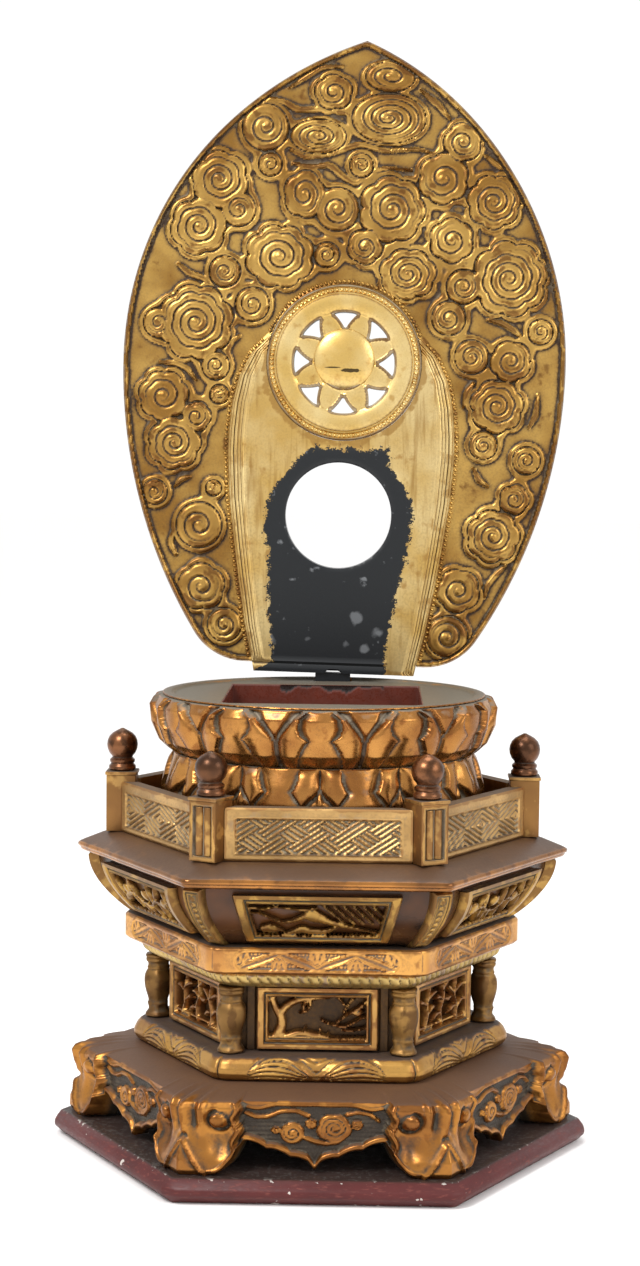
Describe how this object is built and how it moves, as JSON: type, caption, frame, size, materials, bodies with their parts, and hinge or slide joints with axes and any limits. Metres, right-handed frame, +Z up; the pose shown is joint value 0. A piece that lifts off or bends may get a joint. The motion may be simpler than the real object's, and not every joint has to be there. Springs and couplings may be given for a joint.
{
  "type": "lotus pedestal with mandorla",
  "caption": "Carved and gilded hexagonal lotus pedestal with a railing, a square well for a statue and a pointed mandorla of carved clouds standing behind it.",
  "frame": {"origin": "middle of the underside of the plinth board", "axes": "+Z up, the front faces -Y, so +X is on the right seen from the front"},
  "size_m": [0.339, 0.2988, 0.7071],
  "materials": {
    "red_lacquer": "worn dark red lacquer on wood",
    "amber_gilt": "worn gold leaf over red-brown ground, dusty in the hollows",
    "brown_lacquer": "dark brown lacquer",
    "dusty_gilt": "gold leaf gone brown under dust",
    "pale_gilt": "pale gold leaf",
    "black_lacquer": "black lacquer, scuffed"
  },
  "bodies": {
    "root": {"plinth_board": "red_lacquer", "skirt": "amber_gilt", "wave_moulding": "amber_gilt", "waist_block": "brown_lacquer", "waist_panel_1": "amber_gilt", "waist_panel_2": "amber_gilt", "waist_panel_3": "amber_gilt", "waist_panel_4": "amber_gilt", "waist_panel_5": "amber_gilt", "waist_panel_6": "amber_gilt", "baluster_1": "dusty_gilt", "baluster_2": "dusty_gilt", "baluster_3": "dusty_gilt", "baluster_4": "dusty_gilt", "baluster_5": "dusty_gilt", "baluster_6": "dusty_gilt", "rope_band": "pale_gilt", "slab": "amber_gilt", "flare_body": "brown_lacquer", "flare_strip_1": "dusty_gilt", "flare_strip_2": "dusty_gilt", "flare_strip_3": "dusty_gilt", "flare_strip_4": "dusty_gilt", "flare_strip_5": "dusty_gilt", "flare_strip_6": "dusty_gilt", "flare_panel_1": "dusty_gilt", "flare_panel_2": "dusty_gilt", "flare_panel_3": "dusty_gilt", "flare_panel_4": "dusty_gilt", "flare_panel_5": "dusty_gilt", "flare_panel_6": "dusty_gilt", "eave_slab": "dusty_gilt", "rail_post_1": "pale_gilt", "rail_post_2": "pale_gilt", "rail_post_3": "pale_gilt", "rail_post_4": "pale_gilt", "rail_post_5": "pale_gilt", "rail_post_6": "pale_gilt", "post_finial_1": "brown_lacquer", "post_finial_2": "brown_lacquer", "post_finial_3": "brown_lacquer", "post_finial_4": "brown_lacquer", "post_finial_5": "brown_lacquer", "post_finial_6": "brown_lacquer", "rail_panel_1": "pale_gilt", "rail_panel_2": "pale_gilt", "rail_panel_3": "pale_gilt", "rail_panel_4": "pale_gilt", "rail_panel_5": "pale_gilt", "rail_panel_6": "pale_gilt", "lotus_lower": "amber_gilt", "lotus_upper": "amber_gilt", "mandorla_surround": "pale_gilt", "halo_panel": "black_lacquer", "head_halo": "pale_gilt"}
  },
  "joints": []
}
